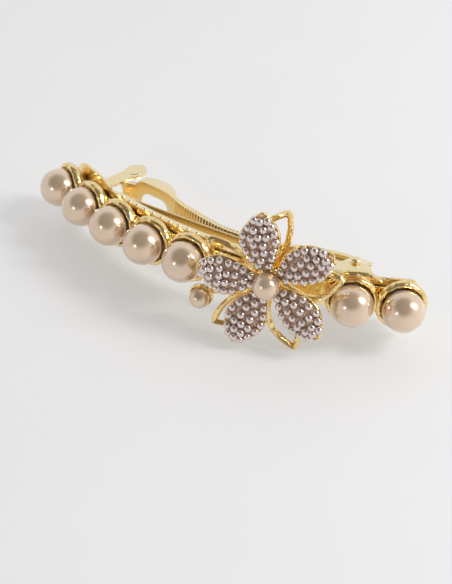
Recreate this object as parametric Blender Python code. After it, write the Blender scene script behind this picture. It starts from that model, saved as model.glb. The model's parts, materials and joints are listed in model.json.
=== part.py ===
"""Barrette: a row of pearls and a beaded flower on a spring clip with a hinged clasp arm.

Every piece is drawn in the clip's own frame: X runs along the arch, Y across it towards the
upper long edge, and Z outwards through the pearls. The whole clip then leans back on its lower
long edge, the way it comes to rest on a table.
"""
import math

import bmesh
import bpy
from mathutils import Matrix, Vector

MM = 0.001                    # sizes below are in millimetres
GAP = 0.3                     # room between pieces that touch
LEAN = 16.0                   # degrees the clip leans back from upright

# Arch and pearls
ARCH_R = 72.4                 # radius of the arch through the pearls' centres
PEARL_D = 8.0
PEARL_STEP = 9.2              # spacing along the arch in the row of five
ROW_END = 39.64               # arc length from the middle to each end pearl
SIXTH_PEARL = 30.08

# Base plate
BASE_TOP = -5.1               # outer face, measured from the pearls' centres
SHEET = 0.6                   # thickness of the base plate and the arm
BASE_HALF = 3.8
BASE_END_HALF = 5.1           # the catch end is broader
BASE_LEFT = -43.2
BASE_RIGHT = 43.4
BROAD_FROM = -26.5
BROAD_TO = -32.5

# Hinge
PIN_X = 25.5
PIN_Z = -15.5
PIN_R = 0.65
PIN_HOLE_R = 0.85
PIN_HEAD_R = 1.15
PIN_HEAD_T = 0.5
EAR_OUT = 3.9                 # outer face of each hinge ear

# Clasp arm
ARM_HALF = 2.9                # at the hinge
ARM_WAIST = 2.2
SPADE_HALF = 3.5
TONGUE_HALF = 2.4             # slips between the catch's straps
WINDOW_X = -18.4              # middle of the round-ended window
WINDOW_LONG = 6.8
WINDOW_HALF = 1.9
FLANGE = 3.4                  # height of the arm's sides at the pin
CHEEK = 2.4                   # depth of the rounded cheeks behind the spade

# Bow spring
BOW_HALF = 3.0
BOW_T = 0.35
BOW_LEFT = -23.0
BOW_RIGHT = 22.6

# Catch
CATCH_T = -34.0               # place along the arch
STRAP_HALF = 1.65
STRAP_T = 0.5
STRAP_IN = 1.4                # inner face of each strap at its root
STRAP_LEAN = 0.25             # how far a strap leans outwards, for each millimetre of its length
HEAD_R = 2.35
HEAD_RHO = -14.6
STRAP_ROOT = -6.4
SEAT_HALF = 1.1
RIVET_R = 0.7

# Row frame
CUP_RIM_R = 4.9
RAIL_HALF = 2.2
RAIL_LOW = -4.72
RAIL_TOP = -4.36
CUP_BOTTOM = -4.8

# Flower
FLOWER_T = 14.6
FLOWER_Y = 2.4
# Each petal: degrees from X, reach from the middle, sideways bend of its tip
PETALS = ((106.0, 14.2, 1.3), (181.0, 13.2, 1.2), (250.0, 14.2, 0.0), (324.0, 13.8, 0.2), (40.0, 14.0, 0.2))
PETAL_IN = 1.8
PETAL_HALF = 3.6
PETAL_T = 0.5
PETAL_RISE = 1.5
# degrees, reach and sideways bow of each loop
LOOPS = ((84.5, 13.7, 1.5), (158.0, 13.2, 1.6), (232.5, 15.0, 1.2), (297.0, 14.6, -0.3), (14.5, 13.3, -1.3))
LOOP_HALF = 2.7
WIRE = 1.1
CENTRE_PEARL_D = 5.0
CENTRE_PEARL_Z = 3.4
SIDE_PEARL_D = 4.0
SIDE_PEARL = (-12.4, -7.4, 0.8)   # from the flower's middle


def arch_point(t, y, rho):
    """Point at arc length t along the arch, y across it, rho out from the pearls' centres."""
    a = t / ARCH_R
    return Vector(((ARCH_R + rho) * math.sin(a), y, (ARCH_R + rho) * math.cos(a) - ARCH_R))


def arch_matrix(t, y=0.0, rho=0.0):
    """Frame on the arch: X along it, Y across it, Z outwards."""
    return Matrix.Translation(arch_point(t, y, rho)) @ Matrix.Rotation(t / ARCH_R, 4, 'Y')


def smooth(x, low, high):
    """0 below low, 1 above high, and an even ease between them."""
    u = min(max((x - low) / (high - low), 0.0), 1.0)
    return u * u * (3 - 2 * u)


def material(name, colour, metallic, roughness):
    mat = bpy.data.materials.new(name)
    mat.use_nodes = True
    shader = mat.node_tree.nodes["Principled BSDF"]
    shader.inputs["Base Color"].default_value = (*colour, 1.0)
    shader.inputs["Metallic"].default_value = metallic
    shader.inputs["Roughness"].default_value = roughness
    mat.diffuse_color = (*colour, 1.0)
    return mat


def make(name, bm, mat, parent, at=Matrix.Identity(4)):
    """Turn a bmesh in millimetres, drawn about its own origin, into a placed object."""
    bmesh.ops.remove_doubles(bm, verts=bm.verts, dist=0.0005)
    bmesh.ops.recalc_face_normals(bm, faces=bm.faces)
    bmesh.ops.scale(bm, vec=(MM, MM, MM), verts=bm.verts)
    mesh = bpy.data.meshes.new(name)
    bm.to_mesh(mesh)
    bm.free()
    mesh.shade_smooth()
    mesh.set_sharp_from_angle(angle=math.radians(35))
    obj = bpy.data.objects.new(name, mesh)
    bpy.context.collection.objects.link(obj)
    obj.parent = parent
    obj.matrix_local = Matrix.Translation(at.translation * MM) @ at.to_3x3().to_4x4()
    if mat:
        mesh.materials.append(mat)
    return obj


def combine(obj, operation, bm, label, at=Matrix.Identity(4)):
    """Add a Boolean to an object, with a hidden tool made from a bmesh."""
    tool = make(f"{obj.name}_{label}", bm, None, obj.parent, at)
    tool.hide_render = True
    tool.display_type = 'WIRE'
    modifier = obj.modifiers.new(label, 'BOOLEAN')
    modifier.operation = operation
    modifier.object = tool
    modifier.solver = 'EXACT'
    return tool


def loft(rings, closed=False):
    """Skin a run of rings of points, with flat ends, or joined end to end."""
    bm = bmesh.new()
    rows = [[bm.verts.new(p) for p in ring] for ring in rings]
    pairs = list(zip(rows, rows[1:]))
    if closed:
        pairs.append((rows[-1], rows[0]))
    else:
        bm.faces.new(rows[0])
        bm.faces.new(rows[-1])
    for a, b in pairs:
        for i in range(len(a)):
            j = (i + 1) % len(a)
            bm.faces.new((a[i], a[j], b[j], b[i]))
    return bm


def turned(profile, steps):
    """Spin a closed-ended profile of (radius, height) points about Z."""
    bm = bmesh.new()
    verts = [bm.verts.new((r, 0, z)) for r, z in profile]
    edges = [bm.edges.new(pair) for pair in zip(verts, verts[1:])]
    bmesh.ops.spin(bm, geom=verts + edges, cent=(0, 0, 0), axis=(0, 0, 1),
                   angle=math.tau, steps=steps, use_merge=True)
    bmesh.ops.remove_doubles(bm, verts=bm.verts, dist=0.0005)
    return bm


def cylinder(radius, low, high, steps=16):
    """Upright cylinder between two heights."""
    return turned([(0, low), (radius, low), (radius, high), (0, high)], steps)


def plate(outline, low, high):
    """Plate with an outline of (x, z) points, between two values of y."""
    return loft([[Vector((x, y, z)) for x, z in outline] for y in (low, high)])


def across(x, y, z):
    """Frame whose Z runs along the clip's Y axis, for pins and their holes."""
    return Matrix.Translation((x, y, z)) @ Matrix.Rotation(math.radians(-90), 4, 'X')


# Base plate and hinge

def base_half(t):
    """Half the base plate's width at arc length t, with rounded ends."""
    half = BASE_HALF + (BASE_END_HALF - BASE_HALF) * smooth(-t, -BROAD_FROM, -BROAD_TO)
    left = min((t - BASE_LEFT) / BASE_END_HALF, 1.0)
    right = min((BASE_RIGHT - t) / 2.0, 1.0)
    half *= math.sqrt(max(1 - (1 - left) ** 2, 0.12))
    return half - 2.0 * (1 - math.sqrt(max(1 - (1 - right) ** 2, 0.0)))


def strip_along_arch(stations, top, thickness, half_at):
    rings = []
    for t in stations:
        half = half_at(t)
        corners = ((-half, top), (half, top), (half, top - thickness), (-half, top - thickness))
        rings.append([arch_point(t, y, rho) for y, rho in corners])
    return loft(rings)


def hinge_ear(side):
    """Lug bent down from the base plate, with its outer face towards the given side."""
    outline = [(22.6, -9.6), (23.2, -13.4), (24.0, -16.0), (24.9, -17.1), (26.4, -17.2),
               (27.9, -16.3), (29.4, -14.0), (30.8, -12.4)]
    low, high = sorted((side * EAR_OUT, side * (EAR_OUT - SHEET)))
    return plate(outline, low, high)


def base_plate(parent, mat):
    stations = [BASE_LEFT + 0.02, -42.6, -41.6, -40.2, -38.0, -35.0]
    stations += [-32.5 + i * 1.5 for i in range(5)]
    stations += [-23.0 + i * 4.6 for i in range(14)]
    stations += [BASE_RIGHT - 2.0, BASE_RIGHT - 1.0, BASE_RIGHT - 0.3, BASE_RIGHT]
    bm = strip_along_arch(stations, BASE_TOP, SHEET, base_half)
    obj = make("base_plate", bm, mat, parent)
    for side, label in ((1, "upper"), (-1, "lower")):
        combine(obj, 'UNION', hinge_ear(side), f"{label}_lug")
    combine(obj, 'DIFFERENCE', cylinder(PIN_HOLE_R, -8, 8, 12), "pin_hole", across(PIN_X, 0, PIN_Z))
    rivet_hole = cylinder(RIVET_R + 0.2, -1, 1, 12)
    combine(obj, 'DIFFERENCE', rivet_hole, "rivet_hole", arch_matrix(CATCH_T, 0, BASE_TOP - SHEET / 2))
    return obj


def hinge_pin(parent, mat):
    head = EAR_OUT + GAP
    end = head + PIN_HEAD_T
    profile = [(0, -end), (PIN_HEAD_R * 0.7, -end), (PIN_HEAD_R, -head - 0.2), (PIN_HEAD_R, -head),
               (PIN_R, -head), (PIN_R, head), (PIN_HEAD_R, head), (PIN_HEAD_R, head + 0.2),
               (PIN_HEAD_R * 0.7, end), (0, end)]
    return make("hinge_pin", turned(profile, 12), mat, parent, across(PIN_X, 0, PIN_Z))


# Clasp arm: a channel at the hinge that flattens, dips past the bow and ends in a spade

ARM_PATH = [(28.2, -17.3), (26.0, -17.4), (22.0, -17.2), (18.0, -16.2), (14.0, -14.9), (9.0, -13.5),
            (4.0, -12.9), (-1.0, -12.9), (-5.5, -13.5), (-9.0, -14.4), (-11.5, -15.2), (-13.5, -15.9),
            (-15.0, -16.4), (-17.0, -16.9), (-19.0, -17.3), (-21.0, -17.6), (-22.6, -17.7), (-23.4, -17.6),
            (-24.6, -17.2), (-26.2, -16.6)]


def arm_half(x):
    """Half the arm's width: broad at the spade, narrow at the tongue."""
    half = ARM_WAIST + (ARM_HALF - ARM_WAIST) * smooth(x, 8.0, 18.0) + 0.5 * smooth(-x, 0.0, 10.0)
    half += (SPADE_HALF - ARM_WAIST - 0.5) * smooth(-x, 11.0, 17.0)
    return half + (TONGUE_HALF - SPADE_HALF) * smooth(-x, 22.4, 23.5)


def arm_flange(x):
    """Height of the arm's sides above its plate."""
    return 0.3 + (FLANGE - 0.3) * smooth(x, 15.0, 23.0)


def arm_cheek(x):
    """Depth of the rounded cheeks below the spade."""
    u = (x + 23.4) / 9.2
    return 0.2 + (CHEEK * math.sin(math.pi * u) ** 0.7 if 0 < u < 1 else 0.0)


def clasp_arm(parent, mat, pivot):
    rings = []
    for x, z in ARM_PATH:
        half = arm_half(x)
        inner = half - SHEET
        top = z + arm_flange(x)
        under = z - SHEET
        low = under - arm_cheek(x)
        side = ((inner, z), (inner, top), (half, top), (half, low), (inner, low), (inner, under))
        other = [(-y, w) for y, w in reversed(side)]
        rings.append([Vector((x, y, w)) for y, w in (*side, *other)])
    bm = loft(rings)
    bmesh.ops.transform(bm, matrix=pivot.inverted(), verts=bm.verts)
    obj = make("clasp_arm", bm, mat, parent, pivot)
    hole = cylinder(PIN_HOLE_R, -6, 6, 12)
    combine(obj, 'DIFFERENCE', hole, "pin_hole", across(PIN_X, 0, PIN_Z))
    window = cylinder(WINDOW_HALF, -2.5, 2.5, 16)
    straight = WINDOW_LONG / 2 - WINDOW_HALF
    for v in window.verts:
        v.co.x += math.copysign(straight, v.co.x)
    combine(obj, 'DIFFERENCE', window, "window", Matrix.Translation((WINDOW_X, 0, -17.2)))
    return obj


def bow_height(x):
    """Flat spring with a slight crown: a chord across the arch."""
    return -10.95 + 0.5 * (1 - (x / BOW_RIGHT) ** 2)


def bow_spring(parent, mat, pivot):
    rings = []
    count = 16
    for i in range(count + 1):
        x = BOW_LEFT + (BOW_RIGHT - BOW_LEFT) * i / count
        half = BOW_HALF * (0.72 if i in (0, count) else 1.0)
        z = bow_height(x)
        corners = ((-half, z), (half, z), (half, z - BOW_T), (-half, z - BOW_T))
        rings.append([Vector((x, y, w)) for y, w in corners])
    bm = loft(rings)
    bmesh.ops.transform(bm, matrix=pivot.inverted(), verts=bm.verts)
    return make("bow_spring", bm, mat, parent, pivot)


# Catch: a seat riveted under the base plate and two springy straps with round heads

def catch_seat(parent, mat):
    top = BASE_TOP - SHEET - GAP
    stations = [CATCH_T - 3.2, CATCH_T - 1.6, CATCH_T, CATCH_T + 1.6, CATCH_T + 3.2]
    bm = strip_along_arch(stations, top, SHEET, lambda t: SEAT_HALF)
    obj = make("catch_seat", bm, mat, parent)
    hole = cylinder(RIVET_R + 0.2, -1, 1, 12)
    combine(obj, 'DIFFERENCE', hole, "rivet_hole", arch_matrix(CATCH_T, 0, top - SHEET / 2))
    return obj


def catch_rivet(parent, mat):
    """Rivet, flush with the base plate's outer face and headed under the seat."""
    head = -(2 * SHEET + 2 * GAP)
    profile = [(0, -0.1), (RIVET_R, -0.1), (RIVET_R, head), (1.15, head), (1.05, head - 0.35), (0, head - 0.55)]
    return make("catch_rivet", turned(profile, 12), mat, parent, arch_matrix(CATCH_T, 0, BASE_TOP))


def catch_strap(name, side, parent, mat, root):
    """Strap in its root's frame: Z points out through the pearls, so the strap runs down."""
    length = STRAP_ROOT - HEAD_RHO
    rings = []
    rows = [(0.2, STRAP_HALF), (-2.0, STRAP_HALF), (-length + HEAD_R, STRAP_HALF)]
    for step in range(1, 8):
        a = math.pi * (0.22 + 0.78 * step / 8)
        rows.append((-length + HEAD_R * math.cos(a), HEAD_R * math.sin(a)))
    for z, half in rows:
        inner = side * (-STRAP_LEAN * z - STRAP_T / 2)
        outer = side * (-STRAP_LEAN * z + STRAP_T / 2)
        rings.append([Vector((-half, inner, z)), Vector((half, inner, z)),
                      Vector((half, outer, z)), Vector((-half, outer, z))])
    return make(name, loft(rings), mat, parent, root)


# Row frame: cups on a rail, with a pad for the flower and one leaf

def cup_profile():
    inner = PEARL_D / 2 + GAP
    bowl = [(inner * math.sin(a), -inner * math.cos(a)) for a in (math.radians(d) for d in (0, 25, 47, 67))]
    shell = [(0, CUP_BOTTOM), (2.5, CUP_BOTTOM), (3.9, -4.1), (4.65, -3.3), (CUP_RIM_R, -2.6), (4.8, -1.9),
             (4.45, -1.5)]
    return shell + bowl[::-1]


def leaf_rings(points, half_at, thickness):
    """Rings for a leaf-shaped blade along a run of (x, y, z) points."""
    rings = []
    last = len(points) - 1
    for i, p in enumerate(points):
        ahead = Vector(points[min(i + 1, last)]) - Vector(points[max(i - 1, 0)])
        side = Vector((-ahead.y, ahead.x, 0)).normalized() * half_at(i / last)
        up = Vector((0, 0, thickness / 2))
        centre = Vector(p)
        rings.append([centre - side, centre - up, centre + side, centre + up])
    return rings


def row_frame(parent, mat, places):
    half = ROW_END + 1.3
    stations = [-half + i * half / 9 for i in range(19)]
    obj = make("row_frame", strip_along_arch(stations, RAIL_TOP, RAIL_TOP - RAIL_LOW, lambda t: RAIL_HALF),
               mat, parent)
    for number, t in enumerate(places, 1):
        spun = turn(7.0 * number)
        combine(obj, 'UNION', turned(cup_profile(), 20), f"cup_{number}", arch_matrix(t) @ spun)
    pad = cylinder(2.5, CUP_BOTTOM, RAIL_TOP + 0.06, 16)
    combine(obj, 'UNION', pad, "flower_pad", arch_matrix(FLOWER_T, FLOWER_Y))
    leaf_path = [(-4.6, 2.6, -2.6), (-3.4, 4.2, -2.2), (-1.6, 5.2, -1.9), (0.6, 5.6, -1.8), (2.8, 5.5, -1.9),
                 (4.6, 4.9, -2.0)]
    leaf = loft(leaf_rings(leaf_path, lambda u: 0.08 + 0.6 * math.sin(math.pi * (0.15 + 0.8 * u)), 0.9))
    combine(obj, 'UNION', leaf, "leaf", arch_matrix(SIXTH_PEARL))
    return obj


# Pearls

def ball(diameter, around=18, down=12):
    bm = bmesh.new()
    bmesh.ops.create_uvsphere(bm, u_segments=around, v_segments=down, radius=diameter / 2)
    return bm


# Flower: a layer of open loops, a layer of petals, a bed of beads on each petal

def loop_rings(reach, bow, steps=22):
    """Rings of wire along a pointed leaf outline that starts and ends at the hub."""
    path = []
    start = 1.6
    for i in range(steps):
        u = i / steps
        out = 1 - abs(2 * u - 1)
        side = 1 if u < 0.5 else -1
        wide = side * LOOP_HALF * math.sin(math.pi * out ** 1.15) ** 0.85 if 0 < out < 1 else 0
        wide += bow * math.sin(math.pi * out)
        path.append(Vector((start + (reach - start) * out, wide, 0.25 * out)))
    rings = []
    for i, p in enumerate(path):
        ahead = path[(i + 1) % steps] - path[i - 1]
        across_wire = Vector((-ahead.y, ahead.x, 0)).normalized() * WIRE / 2
        up = Vector((0, 0, WIRE * 0.45))
        rings.append([p - across_wire - up, p + across_wire - up, p + across_wire * 0.7 + up,
                      p - across_wire * 0.7 + up])
    return rings


def turn(degrees):
    return Matrix.Rotation(math.radians(degrees), 4, 'Z')


def flower_openwork(parent, mat, flower):
    low = -0.55
    obj = make("flower_openwork", cylinder(3.1, low, low + 0.8, 20), mat, parent, flower)
    for number, (angle, reach, bow) in enumerate(LOOPS, 1):
        combine(obj, 'UNION', loft(loop_rings(reach, bow), closed=True), f"loop_{number}", flower @ turn(angle))
    x, y, z = SIDE_PEARL
    inner = SIDE_PEARL_D / 2 + GAP
    cup = [(0, -inner - 0.5), (1.5, -inner - 0.2), (2.1, -1.9), (2.35, -1.3), (inner * 0.87, -inner * 0.5),
           (inner * 0.5, -inner * 0.87), (0, -inner)]
    combine(obj, 'UNION', turned(cup, 14), "side_cup", flower @ Matrix.Translation((x, y, z)))
    stem = [(x, y, z - inner - 0.55), (x + 2.0, y + 1.1, -1.1), (x + 4.4, y + 2.1, -0.5), (x + 6.8, y + 2.6, -0.1)]
    combine(obj, 'UNION', loft(leaf_rings(stem, lambda u: 0.6, 0.9)), "side_stem", flower)
    return obj


def petal_half(u):
    """Half width of a petal, from hub (0) to pointed tip (1)."""
    return 0.12 + PETAL_HALF * math.sin(math.pi * min(0.06 + 0.94 * u, 1) ** 1.3) ** 0.8


def petal_height(u, v):
    """Height of a petal's upper face: it rises outwards and is domed across."""
    return 1.1 + PETAL_RISE * u ** 1.4 + 0.7 * (1 - v * v) * math.sin(math.pi * u) ** 0.5


def petal_sheet(petal, start, end, margin, lift, thickness, steps=12):
    """Leaf-shaped sheet over a petal: margin keeps it in from the edge, lift raises it."""
    _, reach, bend = petal
    rings = []
    spread = (-1, -0.5, 0, 0.5, 1)
    for i in range(steps + 1):
        x = start + (end - start) * i / steps
        u = (x - PETAL_IN) / (reach - PETAL_IN)
        half = max(petal_half(u) - margin, 0.12)
        line = bend * (0.55 * math.sin(math.pi * u) - 0.75 * u * u)
        upper = [Vector((x, line + v * half, petal_height(u, v) + lift)) for v in spread]
        lower = [p - Vector((0, 0, thickness)) for p in reversed(upper)]
        rings.append(upper + lower)
    return loft(rings)


def flower_petals(parent, mat, flower):
    bottom = 0.55
    rim_r = CENTRE_PEARL_D * 0.5
    inner = CENTRE_PEARL_D / 2 + GAP
    floor = CENTRE_PEARL_Z - inner
    hub = [(0, bottom), (2.6, bottom), (2.9, 1.0), (rim_r + 0.25, 1.7), (rim_r, 2.15),
           (inner * math.sin(math.radians(58)), CENTRE_PEARL_Z - inner * math.cos(math.radians(58))),
           (inner * math.sin(math.radians(28)), CENTRE_PEARL_Z - inner * math.cos(math.radians(28))),
           (0, max(floor, bottom + 0.05))]
    obj = make("flower_petals", turned(hub, 20), mat, parent, flower)
    for number, petal in enumerate(PETALS, 1):
        sheet = petal_sheet(petal, PETAL_IN, petal[1], 0.0, 0.0, PETAL_T)
        combine(obj, 'UNION', sheet, f"petal_{number}", flower @ turn(petal[0]))
    return obj


def bead_bed(number, parent, mat, flower):
    """Glue and beads on one petal, as one solid."""
    petal = PETALS[number - 1]
    sheet = petal_sheet(petal, 3.7, petal[1] - 0.9, 0.35, GAP + 1.1, 1.1, steps=9)
    return make(f"bead_bed_{number}", sheet, mat, parent, flower @ turn(petal[0]))


def flower_post(parent, mat):
    low = RAIL_TOP + 0.06 + GAP
    return make("flower_post", cylinder(1.5, low, -0.55 - GAP, 12), mat, parent,
                arch_matrix(FLOWER_T, FLOWER_Y))


def settle(root):
    """Stand the clip on the ground, with the middle of its box over the origin."""
    bpy.context.view_layer.update()
    graph = bpy.context.evaluated_depsgraph_get()
    points = []
    for obj in bpy.context.scene.objects:
        if obj.type == 'MESH' and not obj.hide_render:
            piece = obj.evaluated_get(graph)
            points += [piece.matrix_world @ v.co for v in piece.data.vertices]
    xs, ys, zs = zip(*points)
    root.location = (-(min(xs) + max(xs)) / 2, -(min(ys) + max(ys)) / 2, -min(zs))
    bpy.context.view_layer.update()


def build():
    for obj in list(bpy.data.objects):
        bpy.data.objects.remove(obj, do_unlink=True)
    gold = material("gold_plate", (0.83, 0.66, 0.33), 1.0, 0.2)
    spring = material("gold_spring", (0.86, 0.74, 0.46), 1.0, 0.28)
    cast = material("cast_gold", (0.85, 0.72, 0.42), 1.0, 0.22)
    pearl = material("champagne_pearl", (0.72, 0.58, 0.47), 0.1, 0.18)
    beads = material("silver_beads", (0.55, 0.47, 0.5), 0.3, 0.25)

    root = bpy.data.objects.new("barrette", None)
    bpy.context.collection.objects.link(root)
    root.rotation_euler.x = math.radians(90 - LEAN)

    pin = Matrix.Translation((PIN_X, 0, PIN_Z))
    bow_root = Matrix.Translation((BOW_RIGHT, 0, bow_height(BOW_RIGHT) - BOW_T / 2))
    places = [-ROW_END + i * PEARL_STEP for i in range(5)] + [SIXTH_PEARL, ROW_END]
    flower = arch_matrix(FLOWER_T, FLOWER_Y)

    base_plate(root, gold)
    hinge_pin(root, gold)
    clasp_arm(root, gold, pin)
    bow_spring(root, spring, bow_root)
    catch_seat(root, spring)
    catch_rivet(root, gold)
    for name, side in (("catch_ear_upper", 1), ("catch_ear_lower", -1)):
        strap_root = arch_matrix(CATCH_T, side * (STRAP_IN + STRAP_T / 2), STRAP_ROOT)
        catch_strap(name, side, root, spring, strap_root)
    row_frame(root, cast, places)
    for number, t in enumerate(places, 1):
        make(f"pearl_{number}", ball(PEARL_D), pearl, root, arch_matrix(t))
    flower_post(root, cast)
    flower_openwork(root, cast, flower)
    flower_petals(root, cast, flower)
    for number in range(1, len(PETALS) + 1):
        bead_bed(number, root, beads, flower)
    make("centre_pearl", ball(CENTRE_PEARL_D), pearl, root, flower @ Matrix.Translation((0, 0, CENTRE_PEARL_Z)))
    make("side_pearl", ball(SIDE_PEARL_D, 14, 10), pearl, root, flower @ Matrix.Translation(SIDE_PEARL))
    settle(root)


build()
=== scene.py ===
# %% [markdown]
# # A pearl barrette with a beaded flower
#
# The clip's mechanism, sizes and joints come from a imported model, which is loaded here as a fixed
# frame. This file makes what the eye sees: glossy pearls in hammered cups, a flower paved with
# seed beads, pressed and plated sheet metal, and the light that shows them. Every size below is
# in millimetres unless it says otherwise, because that is how a jeweller would give it.

# %% Load the frame
import json
import math
import random

import bmesh
import bpy
from mathutils import Matrix, Vector, noise


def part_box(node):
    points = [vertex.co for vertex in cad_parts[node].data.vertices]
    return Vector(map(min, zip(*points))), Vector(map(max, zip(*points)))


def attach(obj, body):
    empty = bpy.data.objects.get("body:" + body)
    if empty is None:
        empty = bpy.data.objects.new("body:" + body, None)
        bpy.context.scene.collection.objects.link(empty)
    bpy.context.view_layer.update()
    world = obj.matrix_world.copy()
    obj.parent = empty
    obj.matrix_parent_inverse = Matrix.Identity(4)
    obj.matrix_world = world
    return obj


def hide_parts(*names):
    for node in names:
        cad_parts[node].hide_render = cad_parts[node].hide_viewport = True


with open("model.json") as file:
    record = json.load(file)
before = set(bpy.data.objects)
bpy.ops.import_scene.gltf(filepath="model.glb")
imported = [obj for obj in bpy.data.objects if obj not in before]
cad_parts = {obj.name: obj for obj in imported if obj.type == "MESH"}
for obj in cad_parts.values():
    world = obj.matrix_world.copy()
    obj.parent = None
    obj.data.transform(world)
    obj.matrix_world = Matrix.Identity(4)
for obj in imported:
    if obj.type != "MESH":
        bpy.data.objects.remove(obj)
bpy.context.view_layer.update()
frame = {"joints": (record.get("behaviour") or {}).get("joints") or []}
MM = 0.001
scene = bpy.context.scene

# %% [markdown]
# ## Reading the clip's own axes back
#
# The clip leans on a table, so none of its own directions is a world axis except its length. Three
# things in the frame are enough to find them again. The arm's hinge runs straight across the clip,
# which gives the direction across. The pearls' centres lie on one circle, and three of them fix
# its middle and radius. Everything else is then placed by arc length along that circle, distance
# across, and height above the pearls' centres, just as the maker would measure it.

# %% Directions and the arch


def middle(node):
    """Middle of a node's box, in metres."""
    low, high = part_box(node)
    return (Vector(low) + Vector(high)) / 2


joints = {joint["name"]: joint for joint in frame["joints"]}
across = -Vector(joints["arm_hinge"]["axis"])
along = Vector((1, 0, 0))
outward = along.cross(across)

first, fourth, last = (middle(f"pearl_{n}") for n in (1, 4, 7))
flat = Matrix((along, outward))


def circle_through(points):
    """Centre and radius of the circle through three flat points."""
    (ax, ay), (bx, by), (cx, cy) = points
    d = 2 * (ax * (by - cy) + bx * (cy - ay) + cx * (ay - by))
    a2, b2, c2 = (x * x + y * y for x, y in points)
    ux = (a2 * (by - cy) + b2 * (cy - ay) + c2 * (ay - by)) / d
    uy = (a2 * (cx - bx) + b2 * (ax - cx) + c2 * (bx - ax)) / d
    return Vector((ux, uy)), math.dist((ux, uy), (ax, ay))


flat_points = [(p.dot(along), p.dot(outward)) for p in (first, fourth, last)]
hub, radius = circle_through(flat_points)
ARCH_R = radius / MM
arch_centre = along * hub.x + outward * hub.y + across * first.dot(across)
clip = Matrix((along, across, outward)).transposed().to_4x4()
clip.translation = arch_centre + outward * radius
print(f"arch radius {ARCH_R:.1f} mm, lean {math.degrees(math.asin(across.y)):.1f} degrees")

# %% Places on the arch
scale_mm = Matrix.Scale(MM, 4)


def place(x=0.0, y=0.0, z=0.0):
    """Frame at a point of the clip's own flat axes, taking millimetres to metres."""
    return clip @ scale_mm @ Matrix.Translation((x, y, z))


def on_arch(t, y=0.0, rho=0.0):
    """Frame at arc length t, y across and rho out from the pearls' centres."""
    a = t / ARCH_R
    spot = ((ARCH_R + rho) * math.sin(a), y, (ARCH_R + rho) * math.cos(a) - ARCH_R)
    return place(*spot) @ Matrix.Rotation(a, 4, 'Y')


def arch_address(point):
    """Arc length, distance across and height of a world point, in millimetres."""
    x, y, z = (clip.inverted() @ point) / MM
    return math.atan2(x, z + ARCH_R) * ARCH_R, y, math.hypot(x, z + ARCH_R) - ARCH_R


pearl_places = [arch_address(middle(f"pearl_{n}"))[0] for n in range(1, 8)]
flower_t, flower_y, _ = arch_address(middle("centre_pearl"))
flower = on_arch(flower_t, flower_y)
print("pearls at", [round(t, 1) for t in pearl_places], "flower at", round(flower_t, 1), round(flower_y, 1))

# %% [markdown]
# ## The camera and the floor
#
# A product shot of jewellery uses a long lens, close in, looking down at about 44 degrees. The
# camera's place is written in the clip's own axes, so it keeps its view of the clip whatever the
# lean is. A small vertical shift keeps the optical axis where the framing wants it without tilting
# the view. The floor is a plain pale slab whose top is the ground that the clip stands on.

# %% Camera
camera_data = bpy.data.cameras.new("camera")
camera = bpy.data.objects.new("camera", camera_data)
scene.collection.objects.link(camera)
camera_spot = Vector((76.38, 101.44, 164.07))
camera_side = Vector((0.8813, 0.1283, -0.4548))
camera_up = Vector((-0.3265, 0.8611, -0.3897))
camera_back = camera_side.cross(camera_up)
aim = Matrix((camera_side, camera_up, camera_back)).transposed().to_4x4()
camera.matrix_world = clip.to_3x3().to_4x4() @ aim
camera.location = clip @ (camera_spot * MM)
camera_data.sensor_fit = 'VERTICAL'
camera_data.sensor_height = 36.0
camera_data.lens = 68.8
camera_data.shift_y = -0.029
camera_data.clip_start = 0.01
scene.camera = camera
looking = -camera.matrix_world.col[2].to_3d()
print("camera height angle:", round(math.degrees(math.asin(-looking.z)), 1))

# %% [markdown]
# ## Small tools for making meshes
#
# Each piece starts as a bmesh in its own simple frame, in millimetres. Bmesh operators shape it,
# and only then is it moved to its place, so that the finished object can sit at the origin with
# its place in its mesh. Skinning a run of equal rings is the one shape that no single operator
# makes: the rings are circles or outlines, and bridging joins each to the next.

# %% Mesh tools


def finish_piece(name, bm, where, body, mat, smooth_angle=40.0, stands_for=()):
    """Place a bmesh, make it an object, hang it on its body and hide the frame parts it stands for."""
    bmesh.ops.transform(bm, matrix=where, verts=bm.verts)
    mesh = bpy.data.meshes.new(name)
    bm.to_mesh(mesh)
    bm.free()
    mesh.shade_smooth()
    mesh.set_sharp_from_angle(angle=math.radians(smooth_angle))
    piece = bpy.data.objects.new(name, mesh)
    scene.collection.objects.link(piece)
    mesh.materials.append(mat)
    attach(piece, body)
    if stands_for:
        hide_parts(*stands_for)
    print(f"{name}: {len(mesh.polygons)} faces")
    return piece


def skin(rings, closed=False):
    """Bridge a run of rings of points; open runs get flat ends, closed ones join up."""
    bm = bmesh.new()
    loops = []
    for ring in rings:
        verts = [bm.verts.new(p) for p in ring]
        loops.append([bm.edges.new((verts[i - 1], verts[i])) for i in range(len(verts))])
    pairs = list(zip(loops, loops[1:]))
    if closed:
        pairs.append((loops[-1], loops[0]))
    for a, b in pairs:
        bmesh.ops.bridge_loops(bm, edges=a + b)
    if not closed:
        bmesh.ops.edgeloop_fill(bm, edges=loops[0])
        bmesh.ops.edgeloop_fill(bm, edges=loops[-1])
    bmesh.ops.recalc_face_normals(bm, faces=bm.faces)
    return bm


def spun(profile, steps=48):
    """Turn a profile of (radius, height) points about Z into a closed solid."""
    bm = bmesh.new()
    verts = [bm.verts.new((r, 0, z)) for r, z in profile]
    edges = [bm.edges.new(pair) for pair in zip(verts, verts[1:])]
    bmesh.ops.spin(bm, geom=verts + edges, cent=(0, 0, 0), axis=(0, 0, 1),
                   angle=math.tau, steps=steps, use_merge=True)
    bmesh.ops.remove_doubles(bm, verts=bm.verts, dist=0.001)
    bmesh.ops.recalc_face_normals(bm, faces=bm.faces)
    return bm


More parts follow.
